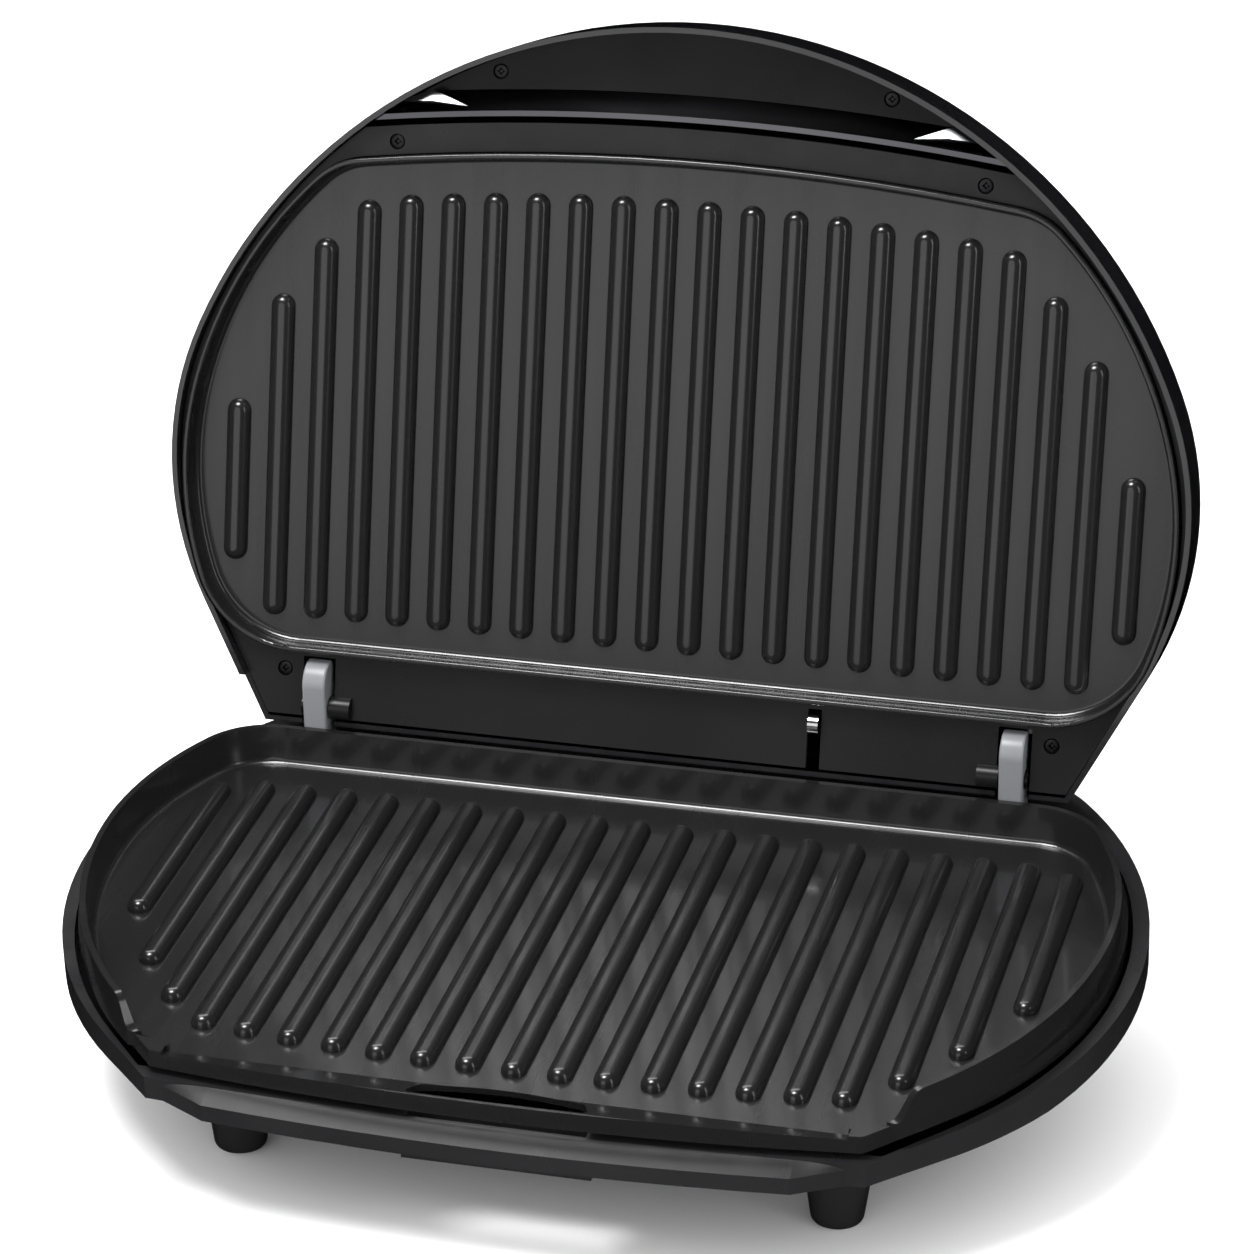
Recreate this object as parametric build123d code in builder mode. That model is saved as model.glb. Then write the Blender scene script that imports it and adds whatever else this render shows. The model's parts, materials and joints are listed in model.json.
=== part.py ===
from build123d import *
import os
from dataclasses import dataclass
from math import asin, cos, degrees, hypot, radians, sin, sqrt

# Contact grill, open. Millimetres, +Z up, the table at z = 0, the front towards -Y.
# Most of it is drawn on two planes: PLATE lies on the ridge tops of the lower cooking plate and slopes
# down to the front, LID lies on the ridge tops of the upper one. On both, x runs across the grill.

# Stance
SLOPE = 4.9
PLATE_HEIGHT = 82.5
PLATE_SHIFT = 55.65
BELLY_HEIGHT = 23.5

# Cooking plates
PLATE_HALF_WIDTH = 205.0
PLATE_WIDEST = -65.0
PLATE_REAR = 22.5
PLATE_FRONT = -223.5
PLATE_FLOOR = 2.5
WALL = 2.5
WALL_TOP = 11.5
WALL_DRAFT = 6.0
FLANGE_TOP = -1.7
FLANGE_WIDTH = 5.0
SKIRT_BOTTOM = -9.0
RIM = 2.2
RIM_TOP = 7.0
FLOOR_FILLET = 2.5
RIDGE_PITCH = 18.0
RIDGE_WIDTH = 10.0
RIDGE_HEIGHT = 4.5
RIDGE_FILLET = 4.2
LOWER_RIDGES = 21
UPPER_RIDGES = 22
RIDGE_SIDE_GAP = 11.5
LOWER_RIDGE_CORNER = (11.65, -39.1, 213.35)
UPPER_RIDGE_CORNER = (15.1, -57.2, 157.0)
LOWER_RIDGE_GAP = 24.0
UPPER_RIDGE_GAP = 15.0

# Drip slot and the chute under it
RIB_END = (132.4, -208.1)
SLOT_HALF_WIDTH = 36.0
SLOT_REAR_HALF_WIDTH = 32.5
SLOT_REAR = -208.5
SLOT_BULGE = 3.5
SLOT_CORNER = 2.0
APRON_REAR = -210.0
APRON_WIDTH = 12.0
END_REACH = 16.0
END_RUN = 12.0
END_RISE = 0.9
END_LENGTH = 13.0
END_BEND = 6.0
FRONT_RIM = 2.0
CHUTE_WALL = 2.0

# Base housing, drawn on its own rim plane
HOUSING_SLOPE = 1.95
HOUSING_DROP = 4.7
HOUSING_MARGIN = 13.2
HOUSING_REAR = 76.0
HOUSING_WALL = 2.5
BAND = 13.3
FRONT_BAND = 9.7
BAND_REAR = -150.0
LEDGE_DROP = 2.6
CHIN_FRONT = -233.5
CHIN_HALF_WIDTH = 114.0
CHIN_SIDE = -228.0
TIP_X = 139.0
TIP_Y = -215.0
PLATE_GAP = 2.0

FRONT_SHELF = 13.0
BOSS_BOTTOM = -12.0
CHUTE_BOTTOM = -18.0
STOP_X = 100.0
STOP_Y = 49.0
STOP_LENGTH = 24.0
STOP_WIDTH = 3.0
STOP_HEIGHT = 4.6

# Bottom cover
COVER_LAP_GAP = 0.3
BELLY_INSET = 34.0
BELLY_SETBACK = 8.0
FOOT_PAD = 8.0

POST_HEAD = 5.0
FOOT_X = 119.7
FOOT_FRONT_Y = -165.2
FOOT_REAR_X = 105.0
FOOT_REAR_Y = 31.0
FOOT_TOP_WIDTH = 27.0
FOOT_BOTTOM_WIDTH = 20.0
FOOT_ROUND = 3.0
FOOT_BORE = 12.0

# Hinge
HINGE_Y = 32.0
HINGE_Z = 18.5
OPEN_ANGLE = 104.88
CLOSED_GAP = 19.2
CLOSED_SHIFT = -4.3
ARM_X = 148.5
ARM_WIDTH = 10.0
ARM_FRONT = 25.8
ARM_REAR = 39.5
ARM_TOP = 38.0
ARM_BASE = -11.0
ARM_ROUND = 9.0
ARM_BACK_ROUND = 3.0
FOOT_Y = 45.0
FOOT_WIDTH = 26.0
FOOT_LENGTH = 28.0
FOOT_SCREW_X = 8.0
PAD_LENGTH = 14.0
FOOT_SCREW_Y = 52.0
PIN_HEAD = 8.0
PIN_HEAD_LENGTH = 1.2
ARM_GAP = 2.0
ARM_SLOT_DEPTH = 12.0
PIN_DIAMETER = 5.0
PIN_CLEARANCE = 0.06
KNUCKLE_RADIUS = 5.0
KNUCKLE_LENGTH = 9.0
KNUCKLE_GAP = 0.6

# Lid
CROWN_RADIUS = 221.3
CROWN_TOP = 259.4
CROWN_TURN = 67.3
SHOULDER_RADIUS = 136.3
SHOULDER_TURN = 50.5
LID_REAR = -43.5
LID_HEEL = -47.7
LID_DEPTH = 44.0
LID_WALL = 2.5
LIP_TOP = 7.0
LIP = 2.2
PANEL_TOP = 1.25
PANEL = 2.5
PANEL_GAP = 0.3
PLATE_RIM_GAP = 0.4
UPPER_HALF_WIDTH = 207.8
UPPER_WIDEST = -65.6
UPPER_REAR = 10.6
UPPER_FRONT = -203.9
PANEL_FRONT = 218.2
STRIP_REAR = 221.0
STRIP_FRONT = 231.0
STRIP_LIP = 2.2
STRIP_TOP = 2.0
HANDLE_TOP = -5.0
FRONT_ARC = 1037.0

# Lead clip in the rear panel
CLIP_X = 65.0
CLIP_SLOT = 5.7
CLIP_WIDTH = 4.4
CLIP_TOP = -18.0
CLIP_DROP = 9.0
CLIP_ROLL = 4.0

# Screws
SCREW = 3.0
SCREW_HEAD = 6.0
SCREW_HEAD_HEIGHT = 2.0
RECESS = 6.6
RECESS_DEPTH = 2.2
BOSS = 9.0
POST_TOP = -20.0
SCREW_GRIP = 5.0
SEAT_WIDTH = 8.0
SEAT = 2.0
SEAT_GAP = 0.3

# Cord gland in the rear wall
GLAND_X = -70.0
GLAND_Y = 69.0
GLAND_Z = 55.0
GLAND_BOSS = 12.0
GLAND_BODY = 12.0
GLAND_COLLAR = 18.0
GLAND_BORE = 7.5

# Heating
HEATER = 6.6
HEATER_GAP = 0.1
HEATER_BEND = 14.0
HEATER_SIDE = 150.0
HEATER_TAIL = 22.0
HEATER_FRONT = -158.0
HEATER_REAR = -22.0
HEATER_END = 14.0
UPPER_HEATER_END = -5.0
HEATER_PIN = 3.0
HEATER_PIN_LENGTH = 7.0
CLAMP_WIDTH = 10.0
CLAMP_FOOT = 10.0
DISH = 5.0
THERMOSTAT_AT = (0.0, -75.0)
FUSE_AT = (45.0, -75.0)
BLOCK_AT = (0.0, 20.0)
SHEET = 0.8

PLATE = Plane(
    origin=(0, PLATE_SHIFT, PLATE_HEIGHT),
    x_dir=(1, 0, 0),
    z_dir=(0, -sin(radians(SLOPE)), cos(radians(SLOPE))),
)
HOUSING = Plane(PLATE.location * Location((0, 0, -HOUSING_DROP), (HOUSING_SLOPE, 0, 0)))
HINGE = PLATE.location * Location((0, HINGE_Y, HINGE_Z))
LID = Plane(
    HINGE
    * Location((0, 0, 0), (-OPEN_ANGLE, 0, 0))
    * Location((0, CLOSED_SHIFT - HINGE_Y, CLOSED_GAP - HINGE_Z), (180, 0, 0))
)
HINGE_IN_LID = (CLOSED_SHIFT - HINGE_Y, CLOSED_GAP - HINGE_Z)
STANDING = Plane(origin=(0, PLATE_SHIFT, 0))
PLATE_UP = Axis(PLATE.origin, PLATE.z_dir)
LID_UP = Axis(LID.origin, LID.z_dir)
FLOOR = -RIDGE_HEIGHT
FLOOR_UNDER = FLOOR - PLATE_FLOOR
SIDES = (-1, 1)


@dataclass(frozen=True)
class Outline:
    """A plan outline, the same on both sides: rear line, two rear arcs, front arcs and a front edge."""

    half_width: float
    widest: float
    rear_radius: float
    rear_corner: float
    rear: float
    front_arcs: tuple
    run: float
    facet: tuple | None
    front: float


WALL_LINE = Outline(
    PLATE_HALF_WIDTH,
    PLATE_WIDEST,
    154.0,
    30.0,
    PLATE_REAR,
    ((197.5, 45.0),),
    0.0,
    None,
    None,
)
FLANGE_LINE = Outline(
    PLATE_HALF_WIDTH + FLANGE_WIDTH,
    PLATE_WIDEST,
    183.0,
    40.0,
    PLATE_REAR + WALL + 0.3,
    ((183.0, 42.0),),
    36.3,
    None,
    PLATE_FRONT,
)
HOUSING_LINE = Outline(
    PLATE_HALF_WIDTH + HOUSING_MARGIN,
    PLATE_WIDEST + 2.5,
    185.0,
    55.5,
    HOUSING_REAR,
    ((185.0, 44.4),),
    36.0,
    None,
    PLATE_FRONT + 0.7,
)
BELLY_LINE = Outline(
    HOUSING_LINE.half_width,
    HOUSING_LINE.widest,
    HOUSING_LINE.rear_radius,
    HOUSING_LINE.rear_corner,
    HOUSING_REAR,
    HOUSING_LINE.front_arcs,
    HOUSING_LINE.run,
    (CHIN_HALF_WIDTH, CHIN_SIDE),
    CHIN_FRONT,
)
RIM_LINE = Outline(
    UPPER_HALF_WIDTH,
    UPPER_WIDEST,
    143.9,
    42.4,
    UPPER_REAR,
    ((143.9, 14.4), (181.5, 31.45), (30.0, 36.5)),
    0.0,
    None,
    UPPER_FRONT,
)


def grown(line, margin):
    """The same outline with every edge moved outward by a margin."""
    facet, run = line.facet, line.run
    if facet:
        side_turn = sum(turn for _, turn in line.front_arcs)
        tip_x, tip_y = front_corner(line)
        side = Vector(cos(radians(side_turn)), -sin(radians(side_turn)))
        slant = Vector(tip_y - facet[1], facet[0] - tip_x).normalized()
        front = Vector(0, -1)
        corner = (slant + front) / (1 + slant.dot(front))
        facet = (facet[0] + margin * corner.X, facet[1] + margin * corner.Y)
        run += margin * (side + slant).cross(side).length / (1 + side.dot(slant))
    return Outline(
        line.half_width + margin,
        line.widest,
        line.rear_radius + margin,
        line.rear_corner + margin,
        line.rear + margin,
        tuple((radius + margin, turn) for radius, turn in line.front_arcs),
        run,
        facet,
        line.front - margin if line.front is not None else None,
    )


def front_corner(line):
    """The point where an outline's side meets its front edge or facet, on the right."""
    x, y, heading = line.half_width, line.widest, 0.0
    for radius, turn in line.front_arcs:
        x -= radius * (cos(radians(heading)) - cos(radians(heading + turn)))
        y -= radius * (sin(radians(heading + turn)) - sin(radians(heading)))
        heading += turn
    return x - line.run * sin(radians(heading)), y - line.run * cos(radians(heading))


def plan(line, rearward=1, margin=0.0, mode=Mode.ADD):
    """Draws an outline as a face, moved outward by a margin. Rearward is +y on the base and -y on the lid."""
    line = grown(line, margin)
    turn = degrees(asin((line.rear - line.widest - line.rear_corner) / (line.rear_radius - line.rear_corner)))
    with BuildLine() as curve:
        side = JernArc(
            (line.half_width, line.widest * rearward), (0, rearward), line.rear_radius, turn * rearward
        )
        corner = JernArc(side @ 1, side % 1, line.rear_corner, (90 - turn) * rearward)
        Line(corner @ 1, (0, line.rear * rearward))
        end, heading = side @ 0, Vector(0, -rearward)
        for radius, front_turn in line.front_arcs:
            arc = JernArc(end, heading, radius, -front_turn * rearward)
            end, heading = arc @ 1, arc % 1
        if line.run:
            end = Line(end, end + heading * line.run) @ 1
        if line.facet:
            end = Line(end, line.facet) @ 1
        mirror(about=Plane.YZ)
        if line.front is None:
            Line((-end.X, end.Y), (end.X, end.Y))
        else:
            ThreePointArc((-end.X, end.Y), (0, line.front * rearward), (end.X, end.Y))
    make_face(curve.edges(), mode=mode)


def front_edge(x, line):
    """The y of an outline's front edge arc at x."""
    corner_x, corner_y = front_corner(line)
    rise = corner_y - line.front
    radius = (corner_x**2 + rise**2) / (2 * rise)
    return line.front + radius - sqrt(radius**2 - x**2)


def ridge_ends(x, line, front, corner):
    """Front and rear end of the ridge at x: a rear line, a side arc and a corner circle cut it short."""
    margin, centre_y, radius = corner
    centre_x = line.half_width - margin - radius
    reach = abs(x) - (line.half_width - line.rear_radius)
    rear = line.widest + sqrt((line.rear_radius - RIDGE_SIDE_GAP) ** 2 - max(reach, 0.0) ** 2)
    return max(front, centre_y - sqrt(radius**2 - (abs(x) - centre_x) ** 2)), min(0.0, rear)


def lid_plan(inset=0.0, rear=LID_REAR):
    """Draws the lid outline, drawn in by an inset, with its rear edge at a given v."""
    with BuildLine() as curve:
        crown = JernArc((0, CROWN_TOP - inset), (1, 0), CROWN_RADIUS - inset, -CROWN_TURN)
        shoulder = JernArc(crown @ 1, crown % 1, SHOULDER_RADIUS - inset, -SHOULDER_TURN)
        heading = shoulder % 1
        run = (rear + inset - (shoulder @ 1).Y) / heading.Y
        flank = Line(shoulder @ 1, shoulder @ 1 + heading * run)
        Line(flank @ 1, (0, rear + inset))
        mirror(about=Plane.YZ)
    make_face(curve.edges())


def arc_height(height, x):
    """The v at x of an arc that runs across the lid and passes the centre line at a given height."""
    radius = FRONT_ARC + height - abs(UPPER_FRONT)
    return height - radius + sqrt(radius**2 - x**2)


def front_band(rear, front, mode=Mode.ADD):
    """Draws the band between two arcs that run across the lid, set by their height at the centre."""
    reach = CROWN_RADIUS
    with BuildLine() as curve:
        for height in (rear, front):
            end = arc_height(height, reach)
            ThreePointArc((-reach, end), (0, height), (reach, end))
        for side in SIDES:
            Line((side * reach, arc_height(rear, reach)), (side * reach, arc_height(front, reach)))
    make_face(curve.edges(), mode=mode)


def save(piece, name):
    """Labels a finished piece and writes it out under its name."""
    piece.part.label = name
    export_step(piece.part, f"parts/{name}.step")


os.makedirs("parts", exist_ok=True)

wall_end = front_corner(WALL_LINE)
flange_corner = front_corner(FLANGE_LINE)
PLATE_POSTS = [(side * 100, y) for side in SIDES for y in (-50, -130)]
SLOT_FRONT = PLATE_FRONT + FRONT_RIM
LOWER_RIDGE_XS = [(k - (LOWER_RIDGES - 1) / 2) * RIDGE_PITCH for k in range(LOWER_RIDGES)]
UPPER_RIDGE_XS = [(k - (UPPER_RIDGES - 1) / 2) * RIDGE_PITCH for k in range(UPPER_RIDGES)]

CLAMP_POINTS = [(side * 70, HEATER_FRONT, 1) for side in SIDES] + [
    (side * 70, HEATER_REAR, -1) for side in SIDES
]
CLAMP_SCREWS = [(x, y + way * CLAMP_FOOT) for x, y, way in CLAMP_POINTS]

# Lower cooking plate: cast tray, open at the front, with a flange and a skirt round it
with BuildPart() as lower_plate:
    with BuildSketch(PLATE.offset(FLOOR_UNDER)):
        plan(FLANGE_LINE)
    extrude(amount=FLANGE_TOP - FLOOR_UNDER)
    with BuildSketch(PLATE.offset(FLOOR_UNDER)):
        plan(WALL_LINE, margin=WALL)
        with Locations((0, wall_end[1] - WALL)):
            Rectangle(4 * wall_end[0], 2 * WALL, mode=Mode.SUBTRACT)
    extrude(amount=WALL_TOP - FLOOR_UNDER)
    with BuildSketch(PLATE.offset(WALL_TOP)):
        plan(WALL_LINE)
    extrude(amount=FLOOR - WALL_TOP, taper=WALL_DRAFT, mode=Mode.SUBTRACT)
    fillet(lower_plate.edges().filter_by_position(PLATE_UP, FLOOR - 0.01, FLOOR + 0.01), FLOOR_FILLET)
    # The floor runs on past the ends of the wall, then rises a little to the front edge
    with BuildSketch(PLATE.offset(FLOOR)):
        with BuildLine():
            Polyline(
                (0, wall_end[1] + END_RUN),
                (wall_end[0] - END_REACH, wall_end[1] + END_RUN),
                wall_end,
                RIB_END,
                (RIB_END[0], APRON_REAR),
                (0, APRON_REAR),
            )
            mirror(about=Plane.YZ)
        make_face()
    extrude(amount=2 * WALL_TOP, mode=Mode.SUBTRACT)
    with BuildSketch(Plane(origin=PLATE.origin, x_dir=PLATE.y_dir, z_dir=PLATE.x_dir)):
        with BuildLine():
            Polyline(
                (APRON_REAR, FLOOR),
                (APRON_REAR - APRON_WIDTH, FLANGE_TOP),
                (APRON_REAR - 2 * APRON_WIDTH, FLANGE_TOP),
                (APRON_REAR - 2 * APRON_WIDTH, WALL_TOP),
                (APRON_REAR, WALL_TOP),
                close=True,
            )
        make_face()
    extrude(amount=RIB_END[0] + 1, both=True, mode=Mode.SUBTRACT)
    # The wall runs down to the flange in an S at both front ends
    rib_top = FLANGE_TOP + END_RISE
    for side in SIDES:
        end = PLATE.from_local_coords((side * wall_end[0], wall_end[1], 0))
        along = PLATE.x_dir * side * sin(radians(45)) + PLATE.y_dir * cos(radians(45))
        across = along.cross(PLATE.z_dir)
        with BuildSketch(Plane(origin=end, x_dir=along, z_dir=across)):
            with BuildLine():
                Line((-END_REACH, 2 * WALL_TOP), (-END_REACH, rib_top))
                Line((-END_REACH, rib_top), (0, rib_top))
                Bezier((0, rib_top), (END_BEND, rib_top), (END_BEND, WALL_TOP), (END_LENGTH, WALL_TOP + 0.01))
                Line((END_LENGTH, WALL_TOP + 0.01), (END_LENGTH, 2 * WALL_TOP))
                Line((END_LENGTH, 2 * WALL_TOP), (-END_REACH, 2 * WALL_TOP))
            make_face()
        extrude(amount=3 * WALL, both=True, mode=Mode.SUBTRACT)
    with BuildSketch(PLATE.offset(FLOOR)):
        for x in LOWER_RIDGE_XS:
            front, rear = ridge_ends(
                x, WALL_LINE, front_edge(x, FLANGE_LINE) + LOWER_RIDGE_GAP, LOWER_RIDGE_CORNER
            )
            with Locations((x, (front + rear) / 2)):
                SlotOverall(rear - front, RIDGE_WIDTH, rotation=90)
    extrude(amount=RIDGE_HEIGHT)
    fillet(lower_plate.edges().filter_by_position(PLATE_UP, -0.01, 0.01), RIDGE_FILLET)
    with BuildSketch(PLATE.offset(SKIRT_BOTTOM)):
        plan(FLANGE_LINE)
    extrude(amount=FLOOR_UNDER - SKIRT_BOTTOM)
    with BuildSketch(PLATE.offset(SKIRT_BOTTOM)):
        plan(FLANGE_LINE, margin=-WALL)
    extrude(amount=FLOOR_UNDER - SKIRT_BOTTOM, mode=Mode.SUBTRACT)
    with BuildSketch(PLATE.offset(FLOOR_UNDER)):
        with Locations(*PLATE_POSTS):
            Circle(BOSS / 2)
    extrude(amount=POST_TOP - FLOOR_UNDER)
    with Locations(PLATE.offset(POST_TOP)):
        with Locations(*PLATE_POSTS):
            Cylinder(SCREW / 2, 20, mode=Mode.SUBTRACT)
    with Locations(PLATE.offset(FLOOR_UNDER)):
        with Locations(*CLAMP_SCREWS):
            Cylinder(SCREW / 2, 2 * PLATE_FLOOR - 0.4, mode=Mode.SUBTRACT)
    with BuildSketch(PLATE.offset(SKIRT_BOTTOM - 1)) as slot:
        with BuildLine():
            slot_front = (SLOT_HALF_WIDTH, front_edge(SLOT_HALF_WIDTH, FLANGE_LINE) + FRONT_RIM)
            slot_rear = (SLOT_REAR_HALF_WIDTH, SLOT_REAR - SLOT_BULGE)
            ThreePointArc((-slot_front[0], slot_front[1]), (0, SLOT_FRONT), slot_front)
            Line(slot_front, slot_rear)
            ThreePointArc(slot_rear, (0, SLOT_REAR), (-slot_rear[0], slot_rear[1]))
            Line((-slot_rear[0], slot_rear[1]), (-slot_front[0], slot_front[1]))
        make_face()
        fillet(slot.vertices(), SLOT_CORNER)
    extrude(amount=FLANGE_TOP - SKIRT_BOTTOM + 2, mode=Mode.SUBTRACT)
save(lower_plate, "lower_plate")

# Upper cooking plate: cast tray with a rim all round
LID_POSTS = [(side * 100, v) for side in SIDES for v in (50, 130)]
LID_SCREWS = [(side * 5.5 * RIDGE_PITCH, v) for side in SIDES for v in (8, 178)]
with BuildPart() as upper_plate:
    with BuildSketch(LID.offset(FLOOR_UNDER)):
        plan(RIM_LINE, -1, RIM)
    extrude(amount=RIM_TOP - FLOOR_UNDER)
    with BuildSketch(LID.offset(RIM_TOP)):
        plan(RIM_LINE, -1)
    extrude(amount=FLOOR - RIM_TOP, mode=Mode.SUBTRACT)
    fillet(upper_plate.edges().filter_by_position(LID_UP, FLOOR - 0.01, FLOOR + 0.01), FLOOR_FILLET)
    fillet(upper_plate.edges().filter_by_position(LID_UP, RIM_TOP - 0.01, RIM_TOP + 0.01), RIM / 3)
    with BuildSketch(LID.offset(FLOOR)):
        for x in UPPER_RIDGE_XS:
            front, rear = ridge_ends(
                x, RIM_LINE, UPPER_RIDGE_GAP - arc_height(-UPPER_FRONT, x), UPPER_RIDGE_CORNER
            )
            with Locations((x, -(front + rear) / 2)):
                SlotOverall(rear - front, RIDGE_WIDTH, rotation=90)
    extrude(amount=RIDGE_HEIGHT)
    fillet(upper_plate.edges().filter_by_position(LID_UP, -0.01, 0.01), RIDGE_FILLET)
    with BuildSketch(LID.offset(FLOOR_UNDER)):
        with Locations(*LID_POSTS):
            Circle(BOSS / 2)
    extrude(amount=POST_TOP - FLOOR_UNDER)
    with Locations(LID.offset(POST_TOP)):
        with Locations(*LID_POSTS):
            Cylinder(SCREW / 2, 20, mode=Mode.SUBTRACT)
    with Locations(LID.offset(FLOOR_UNDER)):
        with Locations(*LID_SCREWS):
            Cylinder(SCREW / 2, 2 * SCREW_GRIP, mode=Mode.SUBTRACT)
        with Locations(*((x, -y) for x, y in CLAMP_SCREWS)):
            Cylinder(SCREW / 2, 2 * PLATE_FLOOR - 0.4, mode=Mode.SUBTRACT)
save(upper_plate, "upper_plate")

# Lid frame: flat panel round the upper plate, with the pivot knuckles of the hinge
hinge_v, hinge_w = HINGE_IN_LID
SLOT_INNER = ARM_X - ARM_WIDTH / 2 - ARM_GAP
SLOT_OUTER = ARM_X + ARM_WIDTH / 2 + ARM_GAP
SWEEP = hypot(ARM_TOP - HINGE_Z, ARM_REAR - HINGE_Y) + 0.6
REAR_SCREWS = [(side * 163.6, -21.3) for side in SIDES]
FRONT_SCREWS = [(side * 122.5, 204.4) for side in SIDES]
HANDLE_SCREWS = [(side * 81.4, 235.5) for side in SIDES]
FRAME_SCREWS = REAR_SCREWS + FRONT_SCREWS
KNUCKLE_END = ARM_X - ARM_WIDTH / 2 - KNUCKLE_GAP
SEAT_TOP = FLOOR_UNDER - SEAT_GAP


def frame_outline(mode):
    """Draws the outline of the lid frame, inside the lip of the cover and behind the bright strip."""
    with BuildSketch() as inside:
        lid_plan(LIP + PANEL_GAP)
        front_band(PANEL_FRONT, CROWN_TOP + 40, mode=Mode.SUBTRACT)
    add(inside.sketch, mode=mode)


with BuildPart() as lid_frame:
    with BuildSketch(LID.offset(PANEL_TOP - PANEL)):
        frame_outline(Mode.ADD)
        plan(RIM_LINE, -1, RIM + PLATE_RIM_GAP, Mode.SUBTRACT)
        with Locations(*((side * ARM_X, hinge_v + SWEEP - 30) for side in SIDES)):
            Rectangle(SLOT_OUTER - SLOT_INNER, 60, mode=Mode.SUBTRACT)
        with Locations((CLIP_X, LID_REAR)):
            Rectangle(CLIP_SLOT, 2 * (-UPPER_REAR - RIM - LID_REAR - 3), mode=Mode.SUBTRACT)
    extrude(amount=PANEL)
    # Wall round the plate, and the seat behind it that the plate is screwed to
    with BuildSketch(LID.offset(SEAT_TOP - SEAT)):
        plan(RIM_LINE, -1, RIM + PLATE_RIM_GAP + SEAT)
        frame_outline(Mode.INTERSECT)
        plan(RIM_LINE, -1, RIM + PLATE_RIM_GAP, Mode.SUBTRACT)
    extrude(amount=PANEL_TOP - SEAT_TOP + SEAT)
    with BuildSketch(LID.offset(SEAT_TOP - SEAT)):
        plan(RIM_LINE, -1, RIM + PLATE_RIM_GAP + SEAT)
        frame_outline(Mode.INTERSECT)
        plan(RIM_LINE, -1, -SEAT_WIDTH, Mode.SUBTRACT)
        with Locations(*LID_SCREWS):
            Circle(SCREW_HEAD)
        with Locations(*((x, v + (9 if v > 100 else -6)) for x, v in LID_SCREWS)):
            Rectangle(2 * SCREW_HEAD, 18)
    extrude(amount=SEAT)
    with Locations(LID.offset(SEAT_TOP)):
        with Locations(*LID_SCREWS):
            Cylinder(SCREW / 2 + 0.2, 20, mode=Mode.SUBTRACT)
    for side in SIDES:
        middle = side * (KNUCKLE_END - KNUCKLE_LENGTH / 2)
        with Locations(LID * Location((middle, hinge_v, hinge_w), (0, 90, 0))):
            Cylinder(KNUCKLE_RADIUS, KNUCKLE_LENGTH)
        with Locations(LID * Location((middle + side * 1.5, hinge_v, hinge_w), (0, 90, 0))):
            Cylinder(PIN_DIAMETER / 2, KNUCKLE_LENGTH, mode=Mode.SUBTRACT)
    with Locations(LID.offset(PANEL_TOP - RECESS_DEPTH - 1.2)):
        with Locations(*FRAME_SCREWS):
            Cylinder(BOSS / 2 + 0.3, 20, align=(Align.CENTER, Align.CENTER, Align.MAX), mode=Mode.SUBTRACT)
    with Locations(LID.offset(PANEL_TOP)):
        with Locations(*FRAME_SCREWS):
            Cylinder(RECESS / 2 + 1.0, RECESS_DEPTH + 1.2, align=(Align.CENTER, Align.CENTER, Align.MAX))
            Cylinder(
                RECESS / 2, RECESS_DEPTH, align=(Align.CENTER, Align.CENTER, Align.MAX), mode=Mode.SUBTRACT
            )
            Cylinder(SCREW / 2 + 0.2, 40, mode=Mode.SUBTRACT)
save(lid_frame, "lid_frame")

# Lid cover: domed shell, built up in bands between outlines that draw in towards the top
COVER_BANDS = (
    (LIP_TOP, 0.0, LID_REAR),
    (-20.0, 0.0, LID_HEEL),
    (-30.0, 3.0, LID_HEEL),
    (-37.0, 9.0, LID_HEEL),
    (-41.5, 19.0, LID_HEEL),
    (-LID_DEPTH, 36.0, LID_HEEL),
)


def lid_dome(wall):
    """The solid dome inside the lid's outer surface, drawn in by a wall."""
    with BuildPart() as dome:
        for w, inset, rear in COVER_BANDS:
            with BuildSketch(LID.offset(w if w == LIP_TOP else w + wall)):
                lid_plan(inset + wall * LIP / LID_WALL, rear)
        loft(ruled=True)
    return dome.part


COVER_BOSSES = [(x, v, PANEL_TOP - RECESS_DEPTH - 1.5) for x, v in FRAME_SCREWS]
COVER_BOSSES += [(x, v, HANDLE_TOP - PANEL - 0.3) for x, v in HANDLE_SCREWS]
with BuildPart() as lid_bosses:
    for x, v, top in COVER_BOSSES:
        with Locations(LID * Location((x, v, top))):
            Cylinder(BOSS / 2, LID_DEPTH, align=(Align.CENTER, Align.CENTER, Align.MAX))
    add(lid_dome(LID_WALL / 2), mode=Mode.INTERSECT)
with BuildPart() as lid_cover:
    add(lid_dome(0))
    add(lid_dome(LID_WALL), mode=Mode.SUBTRACT)
    add(lid_bosses.part)
    for x, v, top in COVER_BOSSES:
        with Locations(LID * Location((x, v, top))):
            Cylinder(SCREW / 2, 24, mode=Mode.SUBTRACT)
    with BuildSketch(LID.offset(FLOOR_UNDER - SEAT_GAP)):
        plan(RIM_LINE, -1, RIM + PANEL_GAP)
    extrude(amount=20, mode=Mode.SUBTRACT)
    # The rear edge lies flush with the frame panel and opens round each arm
    with BuildSketch(LID.offset(PANEL_TOP)):
        with Locations((0, LID_REAR - 10)):
            Rectangle(4 * PLATE_HALF_WIDTH, 60 - 2 * PANEL_TOP)
    extrude(amount=20, mode=Mode.SUBTRACT)
    with BuildSketch(LID.offset(-ARM_SLOT_DEPTH)):
        with Locations(*((side * ARM_X, LID_REAR) for side in SIDES)):
            Rectangle(SLOT_OUTER - SLOT_INNER, 20)
    extrude(amount=40, mode=Mode.SUBTRACT)
save(lid_cover, "lid_cover")

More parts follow.
